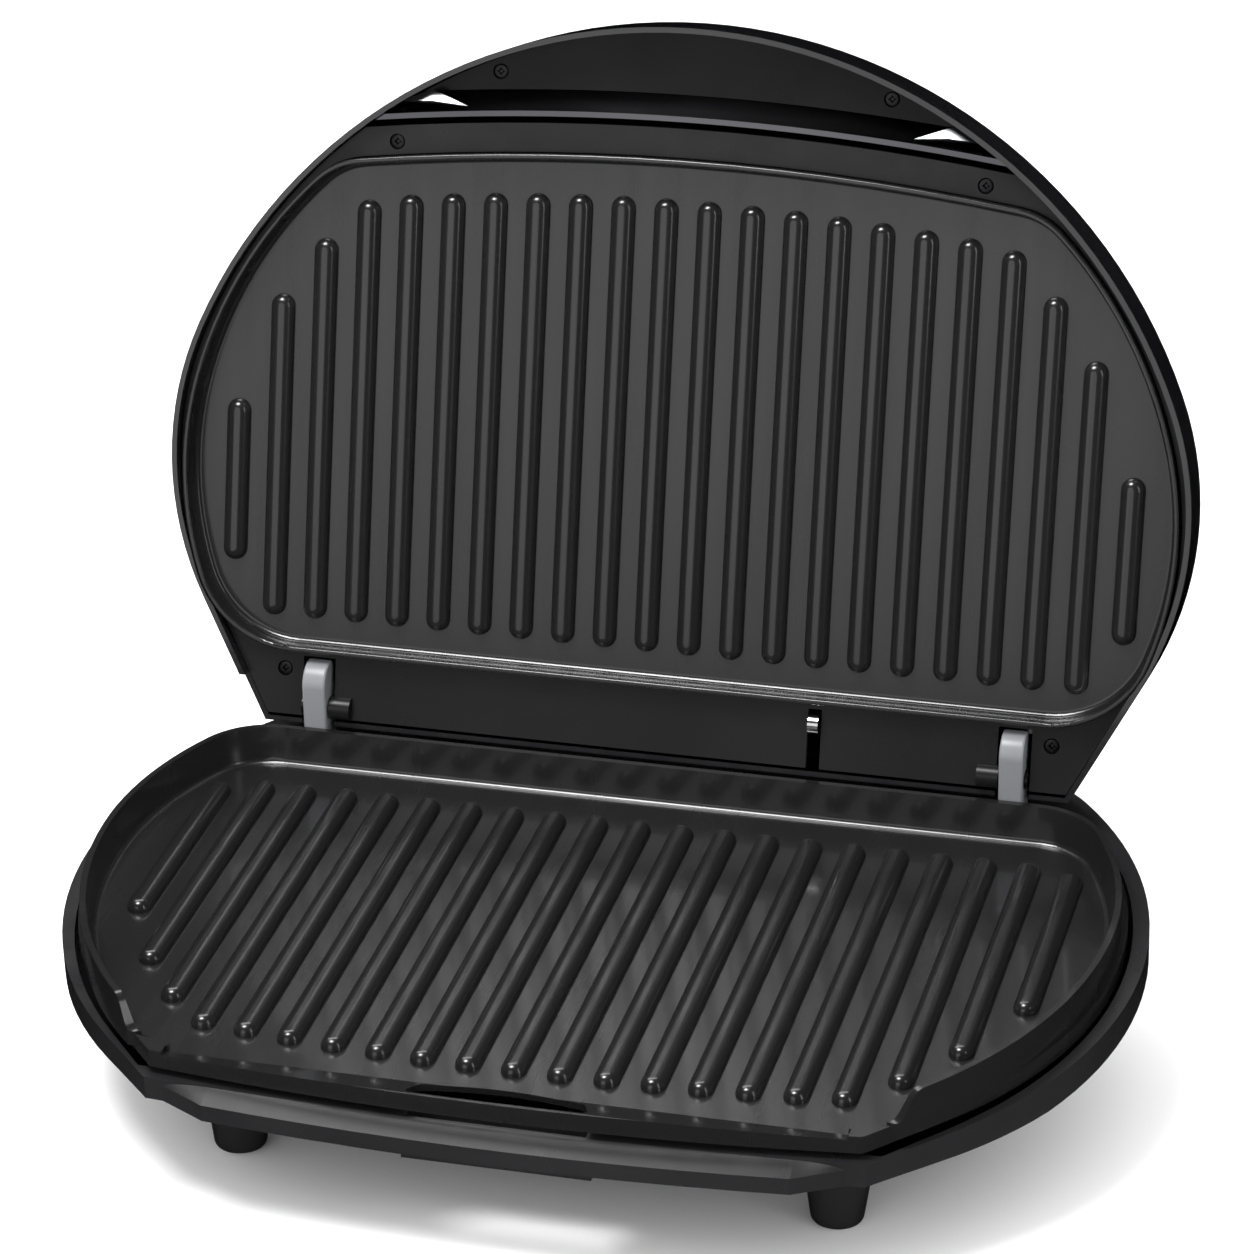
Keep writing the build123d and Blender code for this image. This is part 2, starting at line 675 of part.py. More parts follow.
# Handle: recessed crescent and the bright strip that steps down to it
with BuildPart() as handle_panel:
    with BuildSketch(LID.offset(HANDLE_TOP - PANEL)):
        lid_plan(LIP + PANEL_GAP)
        front_band(-200, STRIP_FRONT + PANEL_GAP, mode=Mode.SUBTRACT)
    extrude(amount=PANEL)
    with Locations(LID.offset(HANDLE_TOP)):
        with Locations(*HANDLE_SCREWS):
            Cylinder(
                RECESS / 2,
                RECESS_DEPTH - 1,
                align=(Align.CENTER, Align.CENTER, Align.MAX),
                mode=Mode.SUBTRACT,
            )
            Cylinder(SCREW / 2 + 0.2, 20, mode=Mode.SUBTRACT)
save(handle_panel, "handle_panel")

with BuildPart() as trim_strip:
    with BuildSketch(LID.offset(HANDLE_TOP - PANEL)):
        front_band(STRIP_REAR, STRIP_FRONT)
        with BuildSketch(mode=Mode.PRIVATE) as lid_inside:
            lid_plan(LIP + PANEL_GAP)
        add(lid_inside.sketch, mode=Mode.INTERSECT)
    extrude(amount=STRIP_TOP - HANDLE_TOP + PANEL)
    slope = trim_strip.edges().filter_by_position(LID_UP, STRIP_TOP - 0.01, STRIP_TOP + 0.01)
    chamfer(
        slope.sort_by(Axis(LID.origin, LID.y_dir))[-1],
        STRIP_TOP - HANDLE_TOP,
        STRIP_FRONT - STRIP_REAR - STRIP_LIP,
    )
save(trim_strip, "trim_strip")

# Hinge arms: upright tongues on the base with a round pivot, and a foot screwed under the deck
ARM_FOOT = 5.0
DECK_PAD = 4.0
FOOT_TOP = -HOUSING_WALL - DECK_PAD
for side, name in ((-1, "hinge_arm_left"), (1, "hinge_arm_right")):
    profile = Plane(
        origin=PLATE.from_local_coords((side * ARM_X, 0, 0)),
        x_dir=PLATE.y_dir,
        z_dir=PLATE.x_dir,
    )
    with BuildPart() as hinge_arm:
        with BuildSketch(profile):
            with BuildLine():
                front = Line((ARM_FRONT, ARM_BASE), (ARM_FRONT, ARM_TOP - ARM_ROUND))
                crown = JernArc(front @ 1, (0, 1), ARM_ROUND, -90)
                top = Line(crown @ 1, (ARM_REAR - ARM_BACK_ROUND, ARM_TOP))
                back = JernArc(top @ 1, (1, 0), ARM_BACK_ROUND, -90)
                Line(back @ 1, (ARM_REAR, ARM_BASE))
                Line((ARM_REAR, ARM_BASE), front @ 0)
            make_face()
        extrude(amount=ARM_WIDTH / 2, both=True)
        fillet(hinge_arm.edges().filter_by(GeomType.CIRCLE), 1.0)
        with BuildSketch(HOUSING.offset(FOOT_TOP)):
            with Locations((side * ARM_X, FOOT_Y)):
                RectangleRounded(FOOT_WIDTH, FOOT_LENGTH, 3)
        extrude(amount=-ARM_FOOT)
        with Locations(HOUSING.offset(FOOT_TOP)):
            with Locations(
                *((side * ARM_X + shift, FOOT_SCREW_Y) for shift in (-FOOT_SCREW_X, FOOT_SCREW_X))
            ):
                Cylinder(SCREW / 2 + 0.2, 4 * ARM_FOOT, mode=Mode.SUBTRACT)
        with Locations(PLATE * Location((side * ARM_X, HINGE_Y, HINGE_Z), (0, 90, 0))):
            Cylinder(PIN_DIAMETER / 2 + PIN_CLEARANCE, 2 * ARM_WIDTH, mode=Mode.SUBTRACT)
    save(hinge_arm, name)

# Hinge pins: pressed into the knuckles, running in the arms, with a head on the outer side
with BuildPart() as hinge_pins:
    for side in SIDES:
        inner = KNUCKLE_END - KNUCKLE_LENGTH + 1.5
        outer = ARM_X + ARM_WIDTH / 2 + 0.3
        with Locations(PLATE * Location((side * inner, HINGE_Y, HINGE_Z), (0, 90 * side, 0))):
            Cylinder(PIN_DIAMETER / 2, outer - inner, align=(Align.CENTER, Align.CENTER, Align.MIN))
        with Locations(PLATE * Location((side * outer, HINGE_Y, HINGE_Z), (0, 90 * side, 0))):
            Cylinder(PIN_HEAD / 2, PIN_HEAD_LENGTH, align=(Align.CENTER, Align.CENTER, Align.MIN))
save(hinge_pins, "hinge_pins")


def chin_plan(half_width, side_y, front):
    """Draws the chin: a front arc with a facet at each end, closed behind."""
    with BuildLine() as curve:
        Line((0, TIP_Y + 25), (TIP_X, TIP_Y + 25))
        Line((TIP_X, TIP_Y + 25), (TIP_X, TIP_Y))
        Line((TIP_X, TIP_Y), (half_width, side_y))
        mirror(about=Plane.YZ)
        ThreePointArc((-half_width, side_y), (0, front), (half_width, side_y))
    make_face(curve.edges())


def base_shape(wall, depth=BAND):
    """The solid outside of the housing, drawn in by a wall."""
    with BuildPart() as shape:
        with BuildSketch(HOUSING.offset(-wall)):
            plan(HOUSING_LINE, margin=-wall)
        extrude(amount=wall - depth)
        rim_y = front_edge(CHIN_HALF_WIDTH, HOUSING_LINE)
        with BuildSketch(HOUSING.offset(-wall)):
            chin_plan(CHIN_HALF_WIDTH, rim_y, HOUSING_LINE.front)
        with BuildSketch(HOUSING.offset(-wall - LEDGE_DROP)):
            chin_plan(CHIN_HALF_WIDTH, CHIN_SIDE + wall, CHIN_FRONT + wall)
        loft(ruled=True)
        with BuildSketch(HOUSING.offset(-wall - LEDGE_DROP)):
            chin_plan(CHIN_HALF_WIDTH, CHIN_SIDE + wall, CHIN_FRONT + wall)
        extrude(amount=wall + LEDGE_DROP - FRONT_BAND)
    return shape.part


# Base housing: open ring with a rounded rim, a chin in front and the deck behind the plate
DECK_BOSSES = [(side * 90, 60) for side in SIDES] + [(side * 90, -214) for side in SIDES]
CHUTE_X = SLOT_HALF_WIDTH - 1
with BuildPart() as base_housing:
    add(base_shape(0))
    add(base_shape(HOUSING_WALL, BAND + 1), mode=Mode.SUBTRACT)
    with BuildSketch(Plane(origin=HOUSING.origin, x_dir=HOUSING.y_dir, z_dir=HOUSING.x_dir)):
        with BuildLine():
            Polyline(
                (2 * CHIN_FRONT, -FRONT_BAND),
                (TIP_Y, -FRONT_BAND),
                (BAND_REAR, -BAND),
                (BAND_REAR, -2 * BAND),
                (2 * CHIN_FRONT, -2 * BAND),
                close=True,
            )
        make_face()
    extrude(amount=2 * TIP_X, both=True, mode=Mode.SUBTRACT)
    with BuildSketch(HOUSING.offset(-10)):
        plan(FLANGE_LINE, margin=PLATE_GAP)
        with Locations((0, PLATE_FRONT)):
            Rectangle(4 * TIP_X, 2 * FRONT_SHELF, mode=Mode.SUBTRACT)
    extrude(amount=20, mode=Mode.SUBTRACT)
    with BuildSketch(HOUSING.offset(-10)):
        with Locations(*((side * ARM_X, (ARM_FRONT + ARM_REAR) / 2) for side in SIDES)):
            Rectangle(ARM_WIDTH + 1, ARM_REAR - ARM_FRONT + 1.4)
    extrude(amount=20, mode=Mode.SUBTRACT)
    # Pads that the hinge arms are screwed to, and bosses for the bottom cover
    with BuildSketch(HOUSING.offset(-HOUSING_WALL / 2)):
        with Locations(*((side * ARM_X, FOOT_SCREW_Y - 1) for side in SIDES)):
            Rectangle(FOOT_WIDTH, PAD_LENGTH)
    extrude(amount=FOOT_TOP + HOUSING_WALL / 2)
    with BuildSketch(HOUSING.offset(-HOUSING_WALL / 2)):
        with Locations(*DECK_BOSSES):
            Circle(BOSS / 2)
    extrude(amount=BOSS_BOTTOM + HOUSING_WALL / 2)
    with Locations(HOUSING.offset(-HOUSING_WALL)):
        with Locations(*DECK_BOSSES):
            Cylinder(SCREW / 2, 60, align=(Align.CENTER, Align.CENTER, Align.MAX), mode=Mode.SUBTRACT)
        with Locations(
            *((side * ARM_X + x, FOOT_SCREW_Y) for side in SIDES for x in (-FOOT_SCREW_X, FOOT_SCREW_X))
        ):
            Cylinder(SCREW / 2, 20, align=(Align.CENTER, Align.CENTER, Align.MAX), mode=Mode.SUBTRACT)
    # Chute that carries the drips down and out under the chin
    with BuildSketch(HOUSING.offset(-HOUSING_WALL / 2)):
        with Locations((0, (SLOT_FRONT + SLOT_REAR) / 2)):
            Rectangle(2 * CHUTE_X + 2 * CHUTE_WALL, SLOT_REAR - SLOT_FRONT + 2 * CHUTE_WALL)
    extrude(amount=CHUTE_BOTTOM + HOUSING_WALL / 2)
    with BuildSketch(HOUSING.offset(CHUTE_BOTTOM - 1)):
        with Locations((0, (SLOT_FRONT + SLOT_REAR) / 2)):
            Rectangle(2 * CHUTE_X, SLOT_REAR - SLOT_FRONT)
    extrude(amount=-CHUTE_BOTTOM + 10, mode=Mode.SUBTRACT)
    # Stops that the open lid leans on
    with BuildSketch(HOUSING.offset(-HOUSING_WALL / 2)):
        with Locations(*((side * STOP_X, STOP_Y) for side in SIDES)):
            RectangleRounded(STOP_LENGTH, STOP_WIDTH, 1)
    extrude(amount=STOP_HEIGHT + HOUSING_WALL / 2)
save(base_housing, "base_housing")


def belly_plan(inset):
    """Draws the housing outline with its chin, drawn in by an inset."""
    plan(BELLY_LINE, margin=-inset)


def belly(wall):
    """The solid outside of the belly pan: from the lap inside the housing down to its flat floor."""
    with BuildPart() as shape:
        with BuildSketch(HOUSING.offset(-FRONT_BAND)):
            belly_plan(HOUSING_WALL + COVER_LAP_GAP + wall)
        with BuildSketch(Plane(origin=(0, PLATE_SHIFT + BELLY_SETBACK, BELLY_HEIGHT + wall))):
            belly_plan(HOUSING_WALL + BELLY_INSET + wall)
        loft(ruled=True)
    return shape.part


FRONT_FEET = [(side * FOOT_X, FOOT_FRONT_Y) for side in SIDES]
REAR_FEET = [(side * FOOT_REAR_X, FOOT_REAR_Y) for side in SIDES]
FEET = FRONT_FEET + REAR_FEET

# Bottom cover: belly pan with the posts that carry the lower plate
with BuildPart() as belly_posts:
    with BuildSketch(PLATE.offset(POST_TOP - SHEET)):
        with Locations(*PLATE_POSTS):
            Circle(BOSS / 2)
    extrude(amount=-PLATE_HEIGHT)
    with BuildSketch(HOUSING.offset(BOSS_BOTTOM - 0.3)):
        with Locations(*DECK_BOSSES):
            Circle(BOSS / 2)
    extrude(amount=-PLATE_HEIGHT)
    add(belly(HOUSING_WALL / 2), mode=Mode.INTERSECT)
with BuildPart() as bottom_cover:
    add(belly(0))
    add(belly(HOUSING_WALL), mode=Mode.SUBTRACT)
    add(belly_posts.part)
    with Locations(STANDING.offset(BELLY_HEIGHT)):
        with Locations(*FEET):
            Cylinder(FOOT_TOP_WIDTH / 2, FOOT_PAD, align=(Align.CENTER, Align.CENTER, Align.MIN))
    with Locations(STANDING.offset(BELLY_HEIGHT + HOUSING_WALL)):
        with Locations(*FEET):
            Cylinder(
                SEAT_WIDTH / 2, FOOT_PAD, align=(Align.CENTER, Align.CENTER, Align.MIN), mode=Mode.SUBTRACT
            )
    with Locations(PLATE.offset(POST_TOP)):
        with Locations(*PLATE_POSTS):
            Cylinder(SCREW / 2 + 0.2, 200, mode=Mode.SUBTRACT)
    with Locations(PLATE.offset(POST_TOP - SHEET - POST_HEAD)):
        with Locations(*PLATE_POSTS):
            Cylinder(RECESS / 2, 200, align=(Align.CENTER, Align.CENTER, Align.MAX), mode=Mode.SUBTRACT)
    with Locations(HOUSING.offset(-HOUSING_WALL)):
        with Locations(*DECK_BOSSES):
            Cylinder(SCREW / 2 + 0.2, 200, align=(Align.CENTER, Align.CENTER, Align.MAX), mode=Mode.SUBTRACT)
    with Locations(HOUSING.offset(BOSS_BOTTOM - POST_HEAD)):
        with Locations(*DECK_BOSSES):
            Cylinder(RECESS / 2, 200, align=(Align.CENTER, Align.CENTER, Align.MAX), mode=Mode.SUBTRACT)
    with Locations(Plane(origin=(0, PLATE_SHIFT, BELLY_HEIGHT))):
        with Locations(*FEET):
            Cylinder(SCREW / 2 + 0.2, 4 * HOUSING_WALL, mode=Mode.SUBTRACT)
    with Locations(STANDING * Location((GLAND_X, GLAND_Y, GLAND_Z), (-90, 0, 0))):
        Cylinder(GLAND_COLLAR / 2 + 1, GLAND_BOSS, align=(Align.CENTER, Align.CENTER, Align.MAX))
        Cylinder(GLAND_BODY / 2 + 0.15, 3 * GLAND_BOSS, mode=Mode.SUBTRACT)
    with BuildSketch(HOUSING.offset(CHUTE_BOTTOM - 30)):
        with Locations((0, (SLOT_FRONT + SLOT_REAR) / 2)):
            Rectangle(2 * CHUTE_X + 2 * CHUTE_WALL + 1, SLOT_REAR - SLOT_FRONT + 2 * CHUTE_WALL + 1)
    extrude(amount=40, mode=Mode.SUBTRACT)
save(bottom_cover, "bottom_cover")

# Feet: tapered, rounded at the bottom
for name, points in (("front_feet", FRONT_FEET), ("rear_feet", REAR_FEET)):
    with BuildPart() as feet:
        with Locations(STANDING):
            with Locations(*points):
                Cone(
                    FOOT_BOTTOM_WIDTH / 2,
                    FOOT_TOP_WIDTH / 2,
                    BELLY_HEIGHT,
                    align=(Align.CENTER, Align.CENTER, Align.MIN),
                )
        fillet(feet.edges().group_by(Axis.Z)[0], FOOT_ROUND)
        with Locations(STANDING.offset(BELLY_HEIGHT)):
            with Locations(*points):
                Cylinder(SCREW / 2, 2 * FOOT_BORE, mode=Mode.SUBTRACT)
    save(feet, name)


def screws(plane, points, seat, tip):
    """Adds screws to the part being made, with their heads on a seat and their tips at a depth."""
    way = 1 if tip > seat else -1
    outward = (Align.CENTER, Align.CENTER, Align.MIN if way < 0 else Align.MAX)
    inward = (Align.CENTER, Align.CENTER, Align.MAX if way < 0 else Align.MIN)
    with Locations(plane.offset(seat)):
        with Locations(*points):
            Cylinder(SCREW_HEAD / 2, SCREW_HEAD_HEIGHT, align=outward)
            Cylinder(SCREW / 2 - 0.05, abs(tip - seat), align=inward)


# Screws
with BuildPart() as frame_screws:
    screws(LID, FRAME_SCREWS, PANEL_TOP - RECESS_DEPTH, PANEL_TOP - RECESS_DEPTH - 10)
save(frame_screws, "frame_screws")
with BuildPart() as handle_screws:
    screws(LID, HANDLE_SCREWS, HANDLE_TOP - RECESS_DEPTH + 1, HANDLE_TOP - RECESS_DEPTH - 9)
save(handle_screws, "handle_screws")
with BuildPart() as upper_plate_screws:
    screws(LID, LID_SCREWS, SEAT_TOP - SEAT, FLOOR_UNDER + SCREW_GRIP - 0.5)
save(upper_plate_screws, "upper_plate_screws")
with BuildPart() as plate_screws:
    screws(PLATE, PLATE_POSTS, POST_TOP - SHEET - POST_HEAD, POST_TOP + 9)
save(plate_screws, "plate_screws")
with BuildPart() as cover_screws:
    screws(HOUSING, DECK_BOSSES, BOSS_BOTTOM - POST_HEAD, BOSS_BOTTOM + 8)
save(cover_screws, "cover_screws")
with BuildPart() as foot_screws:
    screws(STANDING, FEET, BELLY_HEIGHT + HOUSING_WALL, BELLY_HEIGHT - FOOT_BORE + 1)
save(foot_screws, "foot_screws")
with BuildPart() as arm_screws:
    screws(
        HOUSING,
        [(side * ARM_X + x, FOOT_SCREW_Y) for side in SIDES for x in (-FOOT_SCREW_X, FOOT_SCREW_X)],
        FOOT_TOP - ARM_FOOT,
        FOOT_TOP + DECK_PAD - 0.5,
    )
save(arm_screws, "arm_screws")
with BuildPart() as reflector_screws:
    screws(LID, LID_POSTS, POST_TOP - SHEET, POST_TOP + 9)
save(reflector_screws, "reflector_screws")


def heating_element(plane, rearward, terminal):
    """Bent tube under a plate, with a cold pin at each end."""
    depth = FLOOR_UNDER - HEATER_GAP - HEATER / 2
    points = [
        (HEATER_SIDE, HEATER_FRONT),
        (HEATER_SIDE, HEATER_REAR),
        (HEATER_TAIL, HEATER_REAR),
        (HEATER_TAIL, terminal),
    ]
    points = [(-x, y) for x, y in reversed(points)] + points
    with BuildPart() as element:
        with BuildLine(plane.offset(depth)) as path:
            FilletPolyline(*((x, y * rearward) for x, y in points), radius=HEATER_BEND)
        with BuildSketch(Plane(origin=path.line @ 0, z_dir=path.line % 0)):
            Circle(HEATER / 2)
        sweep(path=path.line)
        for side in SIDES:
            tip = plane.from_local_coords((side * HEATER_TAIL, terminal * rearward, depth))
            with BuildSketch(Plane(origin=tip, z_dir=plane.y_dir * rearward)):
                Circle(HEATER_PIN / 2)
            extrude(amount=HEATER_PIN_LENGTH)
    return element


def clamps(plane, rearward):
    """Straps that hold the element up against a plate, each with one foot screwed to it."""
    under = HEATER + HEATER_GAP + 0.05
    web = HEATER / 2 + 1
    with BuildPart() as straps:
        for x, y, way in CLAMP_POINTS:
            along = plane.y_dir * (way * rearward)
            origin = plane.from_local_coords((x, y * rearward, FLOOR_UNDER))
            with BuildSketch(Plane(origin=origin, x_dir=along, z_dir=along.cross(plane.z_dir))):
                with BuildLine():
                    Polyline(
                        (CLAMP_FOOT + 4, 0),
                        (web, 0),
                        (web, -under),
                        (-web, -under),
                        (-web, -under - SHEET),
                        (web + SHEET, -under - SHEET),
                        (web + SHEET, -SHEET),
                        (CLAMP_FOOT + 4, -SHEET),
                        close=True,
                    )
                make_face()
            extrude(amount=CLAMP_WIDTH / 2, both=True)
        with Locations(plane.offset(FLOOR_UNDER)):
            with Locations(*((x, y * rearward) for x, y in CLAMP_SCREWS)):
                Cylinder(SCREW / 2 + 0.2, 4, mode=Mode.SUBTRACT)
    return straps


def reflector(plane, line, rearward, inset, posts):
    """Shallow sheet dish behind the element, on the ends of the plate's posts."""
    with BuildPart() as dish:
        with BuildSketch(plane.offset(POST_TOP - SHEET)):
            plan(line, rearward, -inset)
        extrude(amount=DISH)
        with BuildSketch(plane.offset(POST_TOP)):
            plan(line, rearward, -inset - SHEET)
        extrude(amount=DISH, mode=Mode.SUBTRACT)
        with Locations(plane.offset(POST_TOP)):
            with Locations(*posts):
                Cylinder(SCREW / 2 + 0.2, 10, mode=Mode.SUBTRACT)
    return dish


lower_heater = heating_element(PLATE, 1, HEATER_END)
save(lower_heater, "lower_heater")
upper_heater = heating_element(LID, -1, UPPER_HEATER_END)
save(upper_heater, "upper_heater")
lower_clamps = clamps(PLATE, 1)
save(lower_clamps, "lower_heater_clamps")
upper_clamps = clamps(LID, -1)
save(upper_clamps, "upper_heater_clamps")
with BuildPart() as lower_clamp_screws:
    screws(PLATE, CLAMP_SCREWS, FLOOR_UNDER - SHEET, FLOOR_UNDER + PLATE_FLOOR - 0.3)
save(lower_clamp_screws, "lower_clamp_screws")
with BuildPart() as upper_clamp_screws:
    screws(LID, [(x, -y) for x, y in CLAMP_SCREWS], FLOOR_UNDER - SHEET, FLOOR_UNDER + PLATE_FLOOR - 0.3)
save(upper_clamp_screws, "upper_clamp_screws")
lower_reflector = reflector(PLATE, FLANGE_LINE, 1, 32, PLATE_POSTS)
save(lower_reflector, "lower_reflector")
upper_reflector = reflector(LID, RIM_LINE, -1, 22, LID_POSTS)
save(upper_reflector, "upper_reflector")

# Control parts under the lower plate
with BuildPart() as thermostat:
    with BuildSketch(PLATE.offset(FLOOR_UNDER)):
        with Locations(THERMOSTAT_AT):
            Circle(8.5)
            SlotOverall(32, 9)
    extrude(amount=-1.2)
    with BuildSketch(PLATE.offset(FLOOR_UNDER - 1.2)):
        with Locations(THERMOSTAT_AT):
            Circle(8)
    extrude(amount=-7)
    with Locations(PLATE.offset(FLOOR_UNDER - 8.2)):
        with Locations(*((THERMOSTAT_AT[0] + x, THERMOSTAT_AT[1]) for x in (-4, 4))):
            Box(0.8, 6, 2.5, align=(Align.CENTER, Align.CENTER, Align.MAX))
save(thermostat, "thermostat")
with BuildPart() as thermal_fuse:
    with Locations(PLATE * Location((FUSE_AT[0], FUSE_AT[1], FLOOR_UNDER - 2.1), (0, 90, 0))):
        Cylinder(2, 12)
        Cylinder(0.6, 36)
save(thermal_fuse, "thermal_fuse")
with BuildPart() as terminal_block:
    with Locations(STANDING.offset(BELLY_HEIGHT + HOUSING_WALL)):
        with Locations(BLOCK_AT):
            Box(36, 18, 14, align=(Align.CENTER, Align.CENTER, Align.MIN))
        with Locations(*((BLOCK_AT[0] + x, BLOCK_AT[1], 14) for x in (-11, 0, 11))):
            Cylinder(2, 12, mode=Mode.SUBTRACT)
save(terminal_block, "terminal_block")

# Cord gland: bushing in the rear wall of the bottom cover
with BuildPart() as cord_gland:
    with Locations(STANDING * Location((GLAND_X, GLAND_Y, GLAND_Z), (-90, 0, 0))):
        Cylinder(GLAND_BODY / 2, GLAND_BOSS, align=(Align.CENTER, Align.CENTER, Align.MAX))
        Cylinder(GLAND_COLLAR / 2, 3, align=(Align.CENTER, Align.CENTER, Align.MIN))
        Cylinder(GLAND_BORE / 2, 4 * GLAND_BOSS, mode=Mode.SUBTRACT)
save(cord_gland, "cord_gland")

# Lead clip: bent metal strip that stands out of a slot in the rear panel
with BuildPart() as lead_clip:
    with BuildSketch(Plane(origin=LID.from_local_coords((CLIP_X, 0, 0)), x_dir=LID.y_dir, z_dir=LID.x_dir)):
        with BuildLine() as strip:
            foot = Line((CLIP_TOP, -CLIP_DROP), (CLIP_TOP, 1.5))
            JernArc(foot @ 1, foot % 1, CLIP_ROLL, 180)
        trace(line_width=SHEET)
    extrude(amount=CLIP_WIDTH / 2, both=True)
save(lead_clip, "lead_clip")
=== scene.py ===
"""Contact grill, open: studio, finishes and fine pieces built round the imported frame."""

import json
import logging
import math
from dataclasses import dataclass, field
from enum import Enum

import bmesh
import bpy
from mathutils import Matrix, Vector

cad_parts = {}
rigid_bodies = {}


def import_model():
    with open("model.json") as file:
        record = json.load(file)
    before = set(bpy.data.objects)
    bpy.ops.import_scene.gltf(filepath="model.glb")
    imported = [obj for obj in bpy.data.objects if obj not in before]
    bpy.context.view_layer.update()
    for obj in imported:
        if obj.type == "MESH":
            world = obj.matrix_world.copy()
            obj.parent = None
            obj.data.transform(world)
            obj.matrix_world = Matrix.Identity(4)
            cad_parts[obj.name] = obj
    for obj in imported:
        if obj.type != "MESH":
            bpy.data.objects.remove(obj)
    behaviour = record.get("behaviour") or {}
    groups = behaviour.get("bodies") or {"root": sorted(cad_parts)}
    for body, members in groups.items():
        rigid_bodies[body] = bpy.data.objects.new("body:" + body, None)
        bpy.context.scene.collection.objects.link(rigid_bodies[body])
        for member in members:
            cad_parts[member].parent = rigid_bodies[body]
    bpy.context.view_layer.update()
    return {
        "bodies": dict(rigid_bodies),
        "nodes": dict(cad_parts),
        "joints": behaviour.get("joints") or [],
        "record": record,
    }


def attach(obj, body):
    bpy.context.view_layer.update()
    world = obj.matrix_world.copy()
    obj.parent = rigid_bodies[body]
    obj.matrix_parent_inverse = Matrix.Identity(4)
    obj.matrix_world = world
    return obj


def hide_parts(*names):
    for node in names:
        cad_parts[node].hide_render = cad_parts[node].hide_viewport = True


log = logging.getLogger("contact_grill")
MM = 0.001
NOISE_LOW = 0.3
NOISE_HIGH = 0.7
SHARP_ANGLE = math.radians(30)


# Places

SLOPE = math.radians(4.9)
PLATE_ORIGIN = Vector((0.0, 55.65, 82.5)) * MM
HINGE_AT = (32.0 * MM, 18.5 * MM)
OPEN_ANGLE = math.radians(104.88)
CLOSED_SHIFT = -4.3 * MM
CLOSED_GAP = 19.2 * MM


def plate_place() -> Matrix:
    """The plane on the ridge tops of the lower plate: x across, y to the rear, z up.

    Returns:
        The matrix from that plane to the row frame.
    """
    return Matrix.Translation(PLATE_ORIGIN) @ Matrix.Rotation(SLOPE, 4, "X")


def lid_place() -> Matrix:
    """The plane on the ridge tops of the upper plate: x across, v away from the hinge, w to the food.

    Returns:
        The matrix from that plane to the row frame.
    """
    hinge_y, hinge_z = HINGE_AT
    at_hinge = plate_place() @ Matrix.Translation((0, hinge_y, hinge_z))
    turned = at_hinge @ Matrix.Rotation(-OPEN_ANGLE, 4, "X")
    away = Matrix.Translation((0, CLOSED_SHIFT - hinge_y, CLOSED_GAP - hinge_z))
    return turned @ away @ Matrix.Rotation(math.pi, 4, "X")


# Node building


